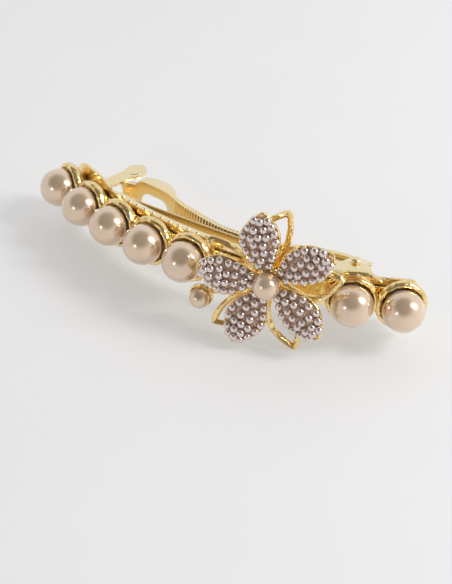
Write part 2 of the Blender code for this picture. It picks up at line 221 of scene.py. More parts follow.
def add_to(bm, other, where=Matrix.Identity(4)):
    """Add another bmesh's faces to this one, moved by a matrix."""
    bmesh.ops.transform(other, matrix=where, verts=other.verts)
    scratch = bpy.data.meshes.new("scratch")
    other.to_mesh(scratch)
    other.free()
    bm.from_mesh(scratch)
    bpy.data.meshes.remove(scratch)


def ease(x, low, high):
    """0 below low, 1 above high, smooth between."""
    u = min(max((x - low) / (high - low), 0.0), 1.0)
    return u * u * (3 - 2 * u)


# %% [markdown]
# ## Writing a finish as sums
#
# A node material is arithmetic on fields: a mask times a colour, one minus a wear map. Wrapping
# each socket in a small class lets Python's own operators add the Math nodes, so a finish reads
# like its formula. Every other node comes from one method that takes its type, its settings and
# its inputs.

# %% Shader fields


class Field:
    """One output socket of a finish, with arithmetic."""

    def __init__(self, finish, socket):
        self.finish = finish
        self.socket = socket

    def math(self, operation, first_value, second_value=None):
        values = {0: first_value} if second_value is None else {0: first_value, 1: second_value}
        return self.finish.node("ShaderNodeMath", {"operation": operation}, values)[0]

    def __add__(self, other):
        return self.math('ADD', self, other)

    def __sub__(self, other):
        return self.math('SUBTRACT', self, other)

    def __mul__(self, other):
        return self.math('MULTIPLY', self, other)

    def clamped(self):
        return self.math('MINIMUM', self.math('MAXIMUM', self, 0.0), 1.0)

    __radd__ = __add__
    __rmul__ = __mul__


class Finish:
    """A material built on one Principled shader."""

    def __init__(self, name, colour, **constants):
        self.material = bpy.data.materials.new(name)
        self.material.use_nodes = True
        self.tree = self.material.node_tree
        self.shader = self.tree.nodes["Principled BSDF"]
        self.shader.inputs["Base Color"].default_value = (*colour, 1.0)
        self.material.diffuse_color = (*colour, 1.0)
        for label, value in constants.items():
            self.shader.inputs[label.replace("_", " ").title().replace("Ior", "IOR")].default_value = value

    def node(self, kind, settings=None, inputs=None):
        """Add a node: settings first, then its inputs; returns its outputs as fields."""
        node = self.tree.nodes.new(kind)
        for label, value in (settings or {}).items():
            setattr(node, label, value)
        for label, value in (inputs or {}).items():
            self.feed(node.inputs[label], value)
        return [Field(self, socket) for socket in node.outputs]

    def feed(self, socket, value):
        if isinstance(value, Field):
            self.tree.links.new(value.socket, socket)
        else:
            socket.default_value = value

    def place(self, stretch=(1, 1, 1)):
        """The piece's own coordinates in millimetres, stretched per axis."""
        where = self.node("ShaderNodeTexCoord")[3]
        scale = tuple(k / MM for k in stretch)
        return self.node("ShaderNodeMapping", {}, {"Vector": where, "Scale": scale})[0]

    def noise(self, size, detail=3.0, roughness=0.55, stretch=(1, 1, 1)):
        """Noise from 0 to 1, with features of a size in millimetres."""
        inputs = {"Vector": self.place(stretch), "Scale": 1.0 / size, "Detail": detail, "Roughness": roughness}
        return self.node("ShaderNodeTexNoise", {}, inputs)[0]

    def dimples(self, size, smoothness=0.6):
        """Distance field of rounded cells, for hammered or pebbled skin."""
        settings = {"feature": 'SMOOTH_F1'}
        inputs = {"Vector": self.place(), "Scale": 1.0 / size, "Smoothness": smoothness}
        return self.node("ShaderNodeTexVoronoi", settings, inputs)[0]

    def mixed(self, factor, one, two):
        """Blend two colours."""
        first, second = (c if isinstance(c, Field) else (*c, 1.0) for c in (one, two))
        return self.node("ShaderNodeMix", {"data_type": 'RGBA'}, {0: factor, 6: first, 7: second})[2]

    def bump(self, height, depth, strength=1.0):
        """Bump from a height field; depth is in millimetres."""
        inputs = {"Height": height, "Distance": depth * MM, "Strength": strength}
        self.feed(self.shader.inputs["Normal"], self.node("ShaderNodeBump", {}, inputs)[0])

    def colour(self, value):
        self.feed(self.shader.inputs["Base Color"], value)

    def rough(self, value):
        self.feed(self.shader.inputs["Roughness"], value)


# %% [markdown]
# ## Gold plate
#
# The clip is pressed from steel or brass sheet and plated in a pale, slightly pink gold, then
# lacquered. The lacquer is a thin clear coat, so the coat weight is on. Pressed sheet keeps fine
# drawing marks along its length, which a noise stretched along X gives. The castings were
# hammered in the pattern, so their skin is made of shallow dimples instead. Both get a slow
# change of tone, because plating is never even, and slightly duller patches where hands touch.
# The castings also carry small dark olive spots, which are painted dark reflections of their hammered facets.

# %% Gold finishes
CREAM_GOLD = (1.00, 0.85, 0.53)
PALE_GOLD = (0.99, 0.79, 0.40)
DEEP_GOLD = (0.98, 0.69, 0.23)
# The last colour is a painted dark reflection, used for small dark olive spots on the hammered castings.
PAINTED_DARK_REFLECTION = (0.20, 0.17, 0.07)


def sheet_gold(name, roughness, grain_depth):
    gold = Finish(name, CREAM_GOLD, metallic=1.0, roughness=roughness, coat_weight=1.0, coat_roughness=0.08,
                  coat_ior=1.65)
    tone = gold.noise(5.0, 2.0)
    grain = gold.noise(0.22, 4.0, 0.6, stretch=(0.06, 1.0, 1.0))
    gold.colour(gold.mixed(((tone - 0.35) * 2.4).clamped(), PALE_GOLD, CREAM_GOLD))
    gold.rough((gold.noise(1.6, 3.0) * 0.14 + grain * 0.10 + (roughness - 0.10)).clamped())
    gold.bump(grain, grain_depth, 0.5)
    return gold.material


def cast_gold(name, roughness, dimple, depth):
    gold = Finish(name, PALE_GOLD, metallic=1.0, roughness=roughness, coat_weight=1.0, coat_roughness=0.05,
                  coat_ior=1.65)
    tone = gold.noise(2.2, 3.0)
    pits = gold.dimples(dimple)
    fine = gold.noise(0.16, 4.0)
    # The small dark olive spots mixed in here are painted dark reflections on the hammered facets, placed by a
    # noise mask.
    painted_dark_reflections = ((gold.noise(0.5, 3.0) - 0.585) * 12.0).clamped() * 0.8
    plated = gold.mixed(((tone - 0.38) * 2.4).clamped(), DEEP_GOLD, PALE_GOLD)
    gold.colour(gold.mixed(painted_dark_reflections, plated, PAINTED_DARK_REFLECTION))
    gold.rough((fine * 0.16 + (roughness - 0.06)).clamped())
    gold.bump(pits + fine * 0.12, depth, 0.8)
    return gold.material


plate_gold = sheet_gold("plate_gold", 0.22, 0.005)
spring_gold = sheet_gold("spring_gold", 0.24, 0.004)
hammered_gold = cast_gold("hammered_gold", 0.16, 1.1, 0.16)
wire_gold = cast_gold("wire_gold", 0.13, 0.8, 0.10)
print("gold finishes:", [m.name for m in (plate_gold, spring_gold, hammered_gold, wire_gold)])

# %% [markdown]
# ## Pearl lacquer
#
# Glass and plastic pearls are dipped several times in a lacquer full of tiny mica flakes, then in
# a clear one. Under a lamp they show two highlights: a broad soft one from the flakes, and a small
# sharp one from the clear skin. A partly metallic, fairly rough base makes the first and a clear
# coat the second. The dip leaves faint clouds and a very slight orange peel.

# %% Pearl finishes


def pearl_finish(name, colour, shade, metal, roughness, cloud):
    pearl = Finish(name, colour, metallic=metal, roughness=roughness, coat_weight=1.0, coat_roughness=0.04,
                   coat_ior=1.9, sheen_weight=0.35, sheen_roughness=0.35)
    clouds = pearl.noise(cloud, 2.0)
    pearl.colour(pearl.mixed(((clouds - 0.3) * 2.0).clamped(), shade, colour))
    pearl.rough(pearl.noise(cloud * 0.4, 2.0) * 0.08 + (roughness - 0.04))
    pearl.bump(pearl.noise(cloud * 0.5, 1.0), 0.02, 0.12)
    return pearl.material


champagne = pearl_finish("champagne_pearl", (0.81, 0.63, 0.45), (0.76, 0.56, 0.38), 0.65, 0.22, 3.0)
seed_silver = pearl_finish("seed_silver", (0.78, 0.67, 0.63), (0.70, 0.58, 0.54), 0.95, 0.15, 1.2)

glue = Finish("petal_glue", (0.33, 0.16, 0.09), roughness=0.35, coat_weight=0.6, coat_roughness=0.12)
glue_lumps = glue.noise(0.7, 3.0)
glint = ((glue.noise(0.42, 2.0) - 0.56) * 9.0).clamped()
brown = glue.mixed(((glue_lumps - 0.35) * 2.5).clamped(), (0.42, 0.21, 0.12), (0.66, 0.42, 0.30))
glue.colour(glue.mixed(glint, brown, PALE_GOLD))
glue.feed(glue.shader.inputs["Metallic"], glint)
glue.rough(glue_lumps * 0.25 + 0.2)
glue.bump(glue_lumps, 0.12, 0.8)
petal_glue = glue.material

# %% [markdown]
# ## Floor and light
#
# The floor is a plain slab of pale plaster that glows a little, as a light table does, so that it
# stays pale under soft lamps. The light is what a jewellery table has: a broad soft light
# overhead, a tall softbox to the right that draws the long highlight on each pearl, and a small
# lamp to the left for the second. The overhead light is hidden from reflections, because on so
# many balls it would only add a third spot. The room is pale all round but dim above the camera,
# which is why the middle of each pearl stays darker than its rim.

# %% Floor
plaster = Finish("plaster", (0.45, 0.45, 0.45), roughness=0.75)
plaster.shader.inputs["Emission Color"].default_value = (1.0, 1.0, 1.0, 1.0)
plaster.shader.inputs["Emission Strength"].default_value = 0.38
plaster_cloud = plaster.noise(60.0, 4.0)
plaster.colour(plaster.mixed(plaster_cloud, (0.40, 0.405, 0.415), (0.47, 0.465, 0.46)))
plaster.bump(plaster.noise(14.0, 5.0), 0.35, 0.35)
slab = bmesh.new()
bmesh.ops.create_grid(slab, x_segments=1, y_segments=1, size=1.5)
floor_mesh = bpy.data.meshes.new("floor")
slab.to_mesh(floor_mesh)
slab.free()
floor = bpy.data.objects.new("floor", floor_mesh)
floor_mesh.materials.append(plaster.material)
scene.collection.objects.link(floor)

# %% Lights
target = clip @ Vector((0, 0, -5 * MM))
view_turn = camera.matrix_world.to_3x3()


def softbox(name, direction, distance, width, height, watts, colour=(1, 1, 1)):
    """Area light seen from the clip in a direction of the camera's own axes, aimed at it."""
    data = bpy.data.lights.new(name, 'AREA')
    data.shape = 'RECTANGLE'
    data.size = width
    data.size_y = height
    data.energy = watts
    data.color = colour
    light = bpy.data.objects.new(name, data)
    scene.collection.objects.link(light)
    toward = (view_turn @ Vector(direction)).normalized()
    light.location = target + toward * distance
    light.rotation_euler = toward.to_track_quat('Z', 'Y').to_euler()
    return light


def overhead(name, spot, size, watts):
    data = bpy.data.lights.new(name, 'AREA')
    data.shape = 'RECTANGLE'
    data.size, data.size_y = size
    data.energy = watts
    light = bpy.data.objects.new(name, data)
    scene.collection.objects.link(light)
    light.location = spot
    light.rotation_euler = (Vector(spot) - target).to_track_quat('Z', 'Y').to_euler()
    return light


softbox("right_softbox", (0.75, 0.40, 0.52), 0.50, 0.11, 0.20, 1.55)
softbox("left_lamp", (-0.66, -0.16, 0.73), 0.45, 0.035, 0.05, 0.08)
overhead("table_light", (-0.05, 0.30, 0.62), (0.9, 0.7), 0.9).visible_glossy = False
world = bpy.data.worlds.new("room")
world.use_nodes = True
room = world.node_tree
dim_side = (view_turn @ Vector((-0.12, 0.48, 0.86))).normalized()
direction = room.nodes.new("ShaderNodeTexCoord").outputs["Generated"]
facing = room.nodes.new("ShaderNodeVectorMath")
facing.operation = 'DOT_PRODUCT'
room.links.new(direction, facing.inputs[0])
facing.inputs[1].default_value = dim_side
shade = room.nodes.new("ShaderNodeValToRGB")
shade.color_ramp.interpolation = 'EASE'
ends = shade.color_ramp.elements
ends[0].position, ends[0].color = 0.40, (0.92, 0.93, 0.96, 1.0)
ends[1].position, ends[1].color = 0.86, (0.26, 0.23, 0.20, 1.0)
room.links.new(facing.outputs["Value"], shade.inputs[0])
room.links.new(shade.outputs[0], room.nodes["Background"].inputs["Color"])
room.nodes["Background"].inputs["Strength"].default_value = 0.86
scene.world = world
scene.view_settings.view_transform = 'Standard'

# %% [markdown]
# ## Pearls
#
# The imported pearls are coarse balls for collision. Each is replaced by a fine sphere with the same
# middle and size. A drawn ball would have a drill hole underneath, which the cup and glue hide.

# %% Pearls


def pearl_ball(name, node, mat):
    low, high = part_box(node)
    size = (high[0] - low[0]) / 2 / MM
    bm = bmesh.new()
    bmesh.ops.create_uvsphere(bm, u_segments=64, v_segments=40, radius=size)
    spot = Matrix.Translation(middle(node)) @ scale_mm
    return finish_piece(name, bm, spot, "clip", mat, 180.0, (node,))


for number in range(1, 8):
    pearl_ball(f"row_pearl_{number}", f"pearl_{number}", champagne)
pearl_ball("flower_pearl", "centre_pearl", champagne)
pearl_ball("drop_pearl", "side_pearl", champagne)

# %% [markdown]
# ## The arched back plate
#
# The plate is a strip pressed to the arch. Its catch end is flat, broad and round; along the
# middle its long edges are folded down to stiffen it, with a row of small raised dots on each
# fold, and two lugs stand down for the hinge pin. A sheet-metal piece is easiest as sheet: a grid
# of faces is bent to shape, given its thickness, and its cut edges are rounded over. The outer
# rows of the grid are the folds. The dots are low balls half sunk in the sheet.

# %% Sheet metal tools


def sheet(columns, rows, shape, thickness, edge=0.1, cut=None):
    """Grid shaped by shape(column, row), thickened downwards, with rounded edges."""
    bm = bmesh.new()
    bmesh.ops.create_grid(bm, x_segments=columns, y_segments=rows, size=0.5)
    cells = {}
    for v in bm.verts:
        cells[v] = (round((v.co.x + 0.5) * columns), round((v.co.y + 0.5) * rows))
    if cut:
        spare = [f for f in bm.faces if cut(*[sum(cells[v][k] for v in f.verts) / 4 for k in (0, 1)])]
        bmesh.ops.delete(bm, geom=spare, context='FACES')
    for v in bm.verts:
        v.co = shape(*cells[v])
    bm.normal_update()
    bmesh.ops.solidify(bm, geom=bm.faces[:], thickness=thickness)
    bmesh.ops.recalc_face_normals(bm, faces=bm.faces)
    round_edges(bm, edge)
    return bm


def round_edges(bm, width, angle=50.0, segments=2):
    """Round over every edge sharper than an angle in degrees."""
    sharp = [e for e in bm.edges if e.is_manifold and e.calc_face_angle() > math.radians(angle)]
    bmesh.ops.bevel(bm, geom=sharp, offset=width, offset_type='OFFSET', segments=segments,
                    profile=0.5, affect='EDGES', material=-1, clamp_overlap=True)


def arch_point(t, y, rho):
    a = t / ARCH_R
    return Vector(((ARCH_R + rho) * math.sin(a), y, (ARCH_R + rho) * math.cos(a) - ARCH_R))


# %% Back plate
PLATE_TOP, SHEET = -5.1, 0.6
PLATE_ENDS = (-43.2, 43.4)


def plate_half(t):
    """Half the plate's width, with a broad round catch end."""
    half = 3.8 + 1.3 * ease(-t, 26.5, 32.5)
    left = min((t - PLATE_ENDS[0]) / 5.1, 1.0)
    right = min((PLATE_ENDS[1] - t) / 2.0, 1.0)
    half *= math.sqrt(max(1 - (1 - left) ** 2, 0.12))
    return half - 2.0 * (1 - math.sqrt(max(1 - (1 - right) ** 2, 0.0)))


PLATE_ROWS = (-1.0, -1.0, -1.0, -0.8, -0.4, 0.0, 0.4, 0.8, 1.0, 1.0, 1.0)
FOLD_ROWS = (1.0, 0.5, 0.0, 0.0, 0.0, 0.0, 0.0, 0.0, 0.0, 0.5, 1.0)
SHALLOW_FOLD = 0.62
FLAT_STEP = 0.1
DOT_SPACING, DOT_R = 2.3, 0.5
LUG_FACE = 3.9


def plate_fold(t):
    """How far the plate's long edges are folded down, beyond its thickness."""
    return ease(t, -29.0, -25.0) * ease(-t, -38.0, -34.0) * (SHALLOW_FOLD + 0.75 * ease(-t, -21.5, -19.0))


def plate_shape(i, j):
    """Columns crowd towards the ends; where there is no fold, its rows step inwards instead."""
    u = i / 140
    length = PLATE_ENDS[1] - PLATE_ENDS[0]
    t = PLATE_ENDS[0] + 0.02 + (length - 0.04) * (u - 0.5 * math.sin(math.tau * u) / math.tau)
    fold = plate_fold(t)
    spread = 1
    if abs(PLATE_ROWS[j]) == 1:
        spread -= FLAT_STEP * (1 - FOLD_ROWS[j]) * (1 - min(fold / SHALLOW_FOLD, 1))
    return arch_point(t, spread * PLATE_ROWS[j] * plate_half(t), PLATE_TOP - FOLD_ROWS[j] * fold)


back_plate = sheet(140, 10, plate_shape, SHEET, 0.12)
for side in (-1, 1):
    for step in range(-6, 13):
        t = -10.2 + DOT_SPACING * step
        if -25 < t < 19:
            dot = bmesh.new()
            bmesh.ops.create_uvsphere(dot, u_segments=12, v_segments=8, radius=DOT_R)
            add_to(back_plate, dot, Matrix.Translation(arch_point(t, side * 3.66, PLATE_TOP - 0.32)))
lug_outline = [(22.6, -9.6), (23.2, -13.4), (24.0, -16.0), (24.9, -17.1), (26.4, -17.2), (27.9, -16.3),
               (29.4, -14.0), (30.8, -12.3), (30.2, -12.0), (26.5, -10.6)]
for side in (-1, 1):
    lug = bmesh.new()
    rim = [lug.verts.new((x, LUG_FACE if side > 0 else SHEET - LUG_FACE, z)) for x, z in lug_outline]
    face = bmesh.ops.contextual_create(lug, geom=rim)["faces"][0]
    body = bmesh.ops.extrude_face_region(lug, geom=[face])["geom"]
    moved = [v for v in body if isinstance(v, bmesh.types.BMVert)]
    bmesh.ops.translate(lug, vec=(0, -SHEET, 0), verts=moved)
    bmesh.ops.recalc_face_normals(lug, faces=lug.faces)
    corners = [e for e in lug.edges
               if abs((e.verts[0].co - e.verts[1].co).y) > 0.1 and e.verts[0].co.z < -12.6]
    bmesh.ops.bevel(lug, geom=corners, offset=0.7, offset_type='OFFSET', segments=3, profile=0.5,
                    affect='EDGES', material=-1, clamp_overlap=True)
    round_edges(lug, 0.14, 60.0)
    add_to(back_plate, lug)
finish_piece("back_plate", back_plate, place(), "clip", plate_gold, 40.0, ("base_plate",))

# %% [markdown]
# ## Hinge pin
#
# A short pin with a domed head at each end, turned from wire. It is one profile spun about its
# axis, then laid across the clip.

# %% Hinge pin
pin_profile = [(0, -4.7), (0.5, -4.68), (0.85, -4.58), (1.06, -4.4), (1.14, -4.2), (0.65, -4.18), (0.65, 4.18),
               (1.14, 4.2), (1.06, 4.4), (0.85, 4.58), (0.5, 4.68), (0, 4.7)]
pin_spot = clip.inverted() @ middle("hinge_pin") / MM
pin_place = place(pin_spot.x, 0, pin_spot.z) @ Matrix.Rotation(math.radians(-90), 4, 'X')
finish_piece("pin", spun(pin_profile, 32), pin_place, "clip", spring_gold, 50.0, ("hinge_pin",))

# %% [markdown]
# ## The clasp arm
#
# The arm is one pressed strip. At the hinge its sides are folded up into a channel that holds the
# pin. Its middle is knurled with fine ridges so that hair doesn't slide along it. Near the catch
# its sides fold the other way into rounded cheeks, beside a window that saves weight and lets the
# fingers feel the end. As sheet it is one grid: the outer rows are the folded sides, the middle
# rows part round the window, and the ridges are a ripple of the rows between.

# %% Clasp arm
ARM_LINE = [(28.2, -17.3), (26.0, -17.4), (22.0, -17.2), (18.0, -16.2), (14.0, -14.9), (9.0, -13.5),
            (4.0, -12.9), (-1.0, -12.9), (-5.5, -13.5), (-9.0, -14.4), (-11.5, -15.2), (-13.5, -15.9),
            (-15.0, -16.4), (-17.0, -16.9), (-19.0, -17.3), (-21.0, -17.6), (-22.6, -17.7), (-23.4, -17.6),
            (-24.6, -17.2), (-26.2, -16.6)]


def flow(points, steps=6):
    """Smooth run of points through the given ones."""
    spots = [Vector(p) for p in points]
    spots = [spots[0] * 2 - spots[1], *spots, spots[-1] * 2 - spots[-2]]
    run = []
    for a, b, c, d in zip(spots, spots[1:], spots[2:], spots[3:]):
        for k in range(steps):
            s = k / steps
            run.append((2 * b + (c - a) * s + (2 * a - 5 * b + 4 * c - d) * s ** 2
                        + (3 * b - a - 3 * c + d) * s ** 3) / 2)
    return [*run, spots[-2]]


arm_line = flow(ARM_LINE)


def arm_level(x):
    """Height of the arm's upper face at x."""
    for a, b in zip(arm_line, arm_line[1:]):
        if a.x >= x >= b.x:
            return a.y + (b.y - a.y) * (a.x - x) / max(a.x - b.x, 1e-6)
    return arm_line[-1].y


WINDOW_X, WINDOW_STRAIGHT, WINDOW_HALF = -18.55, 1.6, 1.9
RIDGE_HIGH, RIDGE_PITCH = 0.26, 0.7


def span(start, end, step):
    count = max(round(abs(end - start) / step), 1)
    return [start + (end - start) * k / count for k in range(count)]


round_end = [math.radians(14 + 76 * k / 6) for k in range(7)]
window_xs = [WINDOW_X + WINDOW_STRAIGHT + WINDOW_HALF * math.cos(a) for a in round_end]
window_xs += [WINDOW_X + 0.6, WINDOW_X - 0.6]
window_xs += [WINDOW_X - WINDOW_STRAIGHT - WINDOW_HALF * math.cos(a) for a in reversed(round_end)]
arm_xs = span(28.2, 10.0, 0.65) + span(10.0, -14.0, 0.14) + [-14.0, -14.4, -14.8] + window_xs
window_first, window_last = len(arm_xs) - len(window_xs), len(arm_xs) - 1
arm_xs += [-22.25, -22.45, -22.7, -23.0, -23.3, -23.7, -24.2, -24.8, -25.4, -25.8, -26.05, -26.2]


def arm_half(x):
    half = 2.2 + 0.7 * ease(x, 8.0, 18.0) + 0.5 * ease(-x, 0.0, 10.0) + 0.8 * ease(-x, 11.0, 17.0)
    half -= 1.1 * ease(-x, 22.4, 23.5)
    return half * (1 - 0.28 * ease(-x, 25.6, 26.2))


def window_half(x):
    beyond = max(abs(x - WINDOW_X) - WINDOW_STRAIGHT, 0)
    return math.sqrt(max(WINDOW_HALF ** 2 - beyond ** 2, 0.46 ** 2))


def cheek(x):
    u = (x + 23.4) / 9.2
    return 2.4 * math.sin(math.pi * u) ** 0.7 if 0 < u < 1 else 0.0


def arm_shape(i, j):
    """Rows 0 to 2 and 10 to 12 are the folded sides, 5 and 7 the window's edges."""
    x = arm_xs[i]
    outer, gap = arm_half(x), window_half(x)
    fold = 0.62 + cheek(x)
    ripple = RIDGE_HIGH * (0.5 - 0.5 * math.cos(math.tau * x / RIDGE_PITCH))
    ripple *= ease(x, -14.0, -13.0) * ease(-x, -10.0, -8.5)
    row = min(j, 12 - j)
    y = (outer, outer, outer, gap + (outer - gap) * 0.72, gap + (outer - gap) * 0.3, gap, 0)[row]
    z = arm_level(x) - (fold, fold / 2, 0, 0, 0, 0, 0)[row] - (ripple if row > 1 else 0)
    return Vector((x, -y if j < 6 else y, z))


wall_xs = span(28.2, 14.0, 0.5) + [14.0]


def wall_shape(i, j):
    """Side of the channel, seen from outside: rows run from the arm's underside up."""
    x = wall_xs[i]
    top = arm_level(x) + 0.1 + 3.3 * ease(x, 14.5, 23.0) * (1 - 0.35 * ease(x, 26.4, 28.2))
    low = arm_level(x) - 0.55
    return Vector((x, arm_half(x), low + (top - low) * j / 4))


def in_window(i, j):
    return window_first < i < window_last and 5 < j < 7


arm = sheet(len(arm_xs) - 1, 12, arm_shape, SHEET, 0.11, in_window)
for side in (-1, 1):
    wall = sheet(len(wall_xs) - 1, 4, wall_shape, SHEET, 0.12)
    if side < 0:
        bmesh.ops.scale(wall, vec=(1, -1, 1), verts=wall.verts)
        bmesh.ops.recalc_face_normals(wall, faces=wall.faces)
    add_to(arm, wall)
finish_piece("clasp_arm_pressing", arm, place(), "arm", plate_gold, 35.0, ("clasp_arm",))

# %% [markdown]
# ## The bow spring
#
# A hard, springy strip held across the arch like a bowstring. The hair is pinched between it and
# the arm. It is a plain strip, slightly crowned across its width, with rounded edges.

# %% Bow spring


def bow_shape(i, j):
    """The strip's ends are narrowed in three steps, which rounds their corners."""
    x = -23.0 + 45.6 * i / 60
    v = j / 4 - 1
    half = 3.0 * (0.78, 0.92, 0.99, 1.0)[min(i, 60 - i, 3)]
    return Vector((x, v * half, -10.95 + 0.5 * (1 - (x / 22.6) ** 2) - 0.14 * v * v))


bow = sheet(60, 8, bow_shape, 0.35, 0.08)
finish_piece("bow_strip", bow, place(), "bow", spring_gold, 40.0, ("bow_spring",))

# %% [markdown]
# ## The catch
#
# One small stamping is riveted under the broad end. Its two straps stand apart in a V on each
# side of the arm's tongue and end in round finger pads, with a coined disc in each. Each strap is
# a sheet whose width follows the pad's circle; the disc is a low spun dome set on its outer face.

# %% Catch
CATCH_T, STRAP_LONG, PAD_R = -34.0, 8.2, 2.35
STRAP_HALF, STRAP_ROOT, STRAP_OUT = 1.65, 1.65, 0.25
SEAT_LOW = -6.0
strap_rows = [(z, STRAP_HALF) for z in (0.15, -0.6, -1.4, -2.4, -3.6)] + [(-STRAP_LONG + 3.5, 1.66)]
for step in range(11):
    angle = math.pi * (0.24 + 0.72 * step / 10)
    strap_rows.append((-STRAP_LONG + PAD_R * math.cos(angle), PAD_R * math.sin(angle)))


def strap_lean(z):
    """The straps stand apart in a V."""
    return -0.25 * z


for side, name in ((1, "upper"), (-1, "lower")):
    def strap_shape(i, j, side=side):
        z, half = strap_rows[i]
        return Vector((-side * (j / 4 - 1) * half, side * (strap_lean(z) + STRAP_OUT), z))
    strap = sheet(len(strap_rows) - 1, 8, strap_shape, 0.5, 0.1)
    if strap.calc_volume(signed=True) < 0:
        bmesh.ops.reverse_faces(strap, faces=strap.faces)
    disc = spun([(0, 0.06), (1.0, 0.07), (1.42, 0.07), (1.55, 0.0), (1.6, -0.12), (0, -0.12)], 40)
    tilt = math.atan((strap_lean(-STRAP_LONG - 1) - strap_lean(-STRAP_LONG + 1)) / 2)
    turn_out = Matrix.Rotation(math.radians(-90 * side) + side * tilt, 4, 'X')
    disc_spot = Matrix.Translation((0, side * (strap_lean(-STRAP_LONG) + STRAP_OUT), -STRAP_LONG))
    add_to(strap, disc, disc_spot @ turn_out)
    finish_piece(f"{name}_strap", strap, on_arch(CATCH_T, side * STRAP_ROOT, -6.4), f"{name}_ear",
                 spring_gold, 40.0, (f"catch_ear_{name}",))


def seat_shape(i, j):
    return arch_point(CATCH_T - 3.2 + 6.4 * i / 8, (j / 5 - 1) * 1.1, SEAT_LOW)


finish_piece("catch_base", sheet(8, 10, seat_shape, SHEET, 0.1), place(), "clip", spring_gold,
             40.0, ("catch_seat",))
rivet_profile = [(0, 0.12), (0.45, 0.08), (0.7, -0.1), (0.7, -1.75), (1.15, -1.8), (1.13, -1.95), (0.95, -2.15),
                 (0.6, -2.3), (0, -2.34)]
finish_piece("rivet", spun(rivet_profile, 32), on_arch(CATCH_T, 0, PLATE_TOP), "clip", plate_gold,
             40.0, ("catch_rivet",))

# %% [markdown]
# ## Cups on a rail
#
# The row is one casting: seven cups on a rail, each with a thick hammered collar that stands up
# round its pearl. Each cup is a profile spun about its axis. The hammering is real shape here, not
# only a bump, because the collars' outlines show it: every point is pushed along its normal by the
# distance to the nearest of a scatter of dents.

# %% Hammered cups


def hammer(bm, depth, size, shift, keep=lambda co: True):
    """Dent a surface: points sink towards the middle of each nearby dent."""
    bm.normal_update()
    moves = []
    for v in bm.verts:
        if keep(v.co):
            dent = noise.voronoi((v.co + Vector((shift, shift * 2, 0))) / size)[0][0]
            moves.append((v, v.normal * depth * (dent - 0.45)))
    for v, move in moves:
        v.co += move


CUP_PROFILE = [(0, -4.8), (1.6, -4.8), (2.6, -4.75), (3.3, -4.45), (3.85, -4.05), (4.3, -3.65), (4.6, -3.25),
               (4.8, -2.9), (4.88, -2.55), (4.88, -2.2), (4.8, -1.9), (4.64, -1.66), (4.42, -1.52),
               (4.2, -1.52), (4.06, -1.62), (4.0, -1.78), (4.02, -2.0), (3.9, -2.4), (3.6, -2.75), (3.0, -3.25),
               (2.2, -3.75), (1.2, -4.13), (0, -4.3)]
for number, t in enumerate(pearl_places, 1):
    cup = spun(CUP_PROFILE, 84)
    hammer(cup, 0.26, 1.0, 9.0 * number, lambda co: co.xy.length > 4.0 and co.z > -3.9)
    finish_piece(f"cup_{number}", cup, on_arch(t), "clip", hammered_gold, 40.0, ("row_frame",))


def rail_shape(i, j):
    t = -40.94 + 81.88 * i / 90
    return arch_point(t, (j / 4 - 1) * 2.2, -4.34)


rail = sheet(90, 8, rail_shape, 0.4, 0.12)
hammer(rail, 0.12, 1.1, 3.0)
pad = spun([(0, -4.8), (2.4, -4.8), (2.5, -4.7), (2.5, -4.4), (2.4, -4.3), (0, -4.3)], 40)
add_to(rail, pad, place().inverted() @ on_arch(flower_t, flower_y))
finish_piece("rail", rail, place(), "clip", hammered_gold, 40.0, ("row_frame",))


# %% [markdown]
# ## Wire and leaves
#
# The leaf over the sixth pearl and the open loops behind the petals are cast wire, hammered flat
# on each side of a ridge. A ring with a ridged outline is carried along the run, and each ring is
# bridged to the next. Each loop is given as its direction, its reach and how far it bows sideways,
# because no two of the real ones are bent alike.

# %% Ridged wire


RIDGE_OUTLINE = ((-1, -0.7), (0.0, -1), (1, -0.7), (0.96, 0.1), (0.55, 0.75), (0.05, 1.0),
                 (-0.5, 0.72), (-0.95, 0.1))


def ridged(run, width_at, height, closed=False):
    """Skin of a ridged wire along a run of points lying roughly flat."""
    rings = []
    last = len(run) - 1
    for i, p in enumerate(run):
        before = run[i - 1] if closed or i else run[i]
        after = run[(i + 1) % len(run)] if closed or i < last else run[i]
        ahead = after - before
        side = Vector((-ahead.y, ahead.x, 0)).normalized() * width_at(i / last)
        up = Vector((0, 0, height / 2))
        rings.append([p + side * a + up * b for a, b in RIDGE_OUTLINE])
    return skin(rings, closed)


leaf_line = [(-4.6, 2.6, -2.6), (-3.4, 4.2, -2.2), (-1.6, 5.2, -1.9), (0.6, 5.6, -1.8), (2.8, 5.5, -1.9),
             (4.6, 4.9, -2.0)]
leaf = ridged(flow(leaf_line, 7), lambda u: 0.1 + 0.58 * math.sin(math.pi * (0.15 + 0.8 * u)), 0.95)
hammer(leaf, 0.15, 0.9, 5.0)
finish_piece("row_leaf", leaf, on_arch(pearl_places[5]), "clip", wire_gold, 30.0, ("row_frame",))

# %% Open loops
LOOPS = ((84.5, 13.7, 1.5), (158.0, 13.2, 1.6), (232.5, 15.0, 1.2), (297.0, 14.6, -0.3), (14.5, 13.3, -1.3))
LOOP_HALF = 2.7
HUB_EDGE = 1.6


def loop_line(reach, bow, steps=56):
    """Pointed leaf outline, bowed sideways, that starts and ends under the hub."""
    run = []
    for i in range(steps):
        u = i / steps
        out = 1 - abs(2 * u - 1)
        side = 1 if u < 0.5 else -1
        wide = side * LOOP_HALF * math.sin(math.pi * out ** 1.15) ** 0.85 if 0 < out < 1 else 0
        swing = bow * math.sin(math.pi * out)
        run.append(Vector((HUB_EDGE + (reach - HUB_EDGE) * out, wide + swing, 0.25 * out)))
    return run


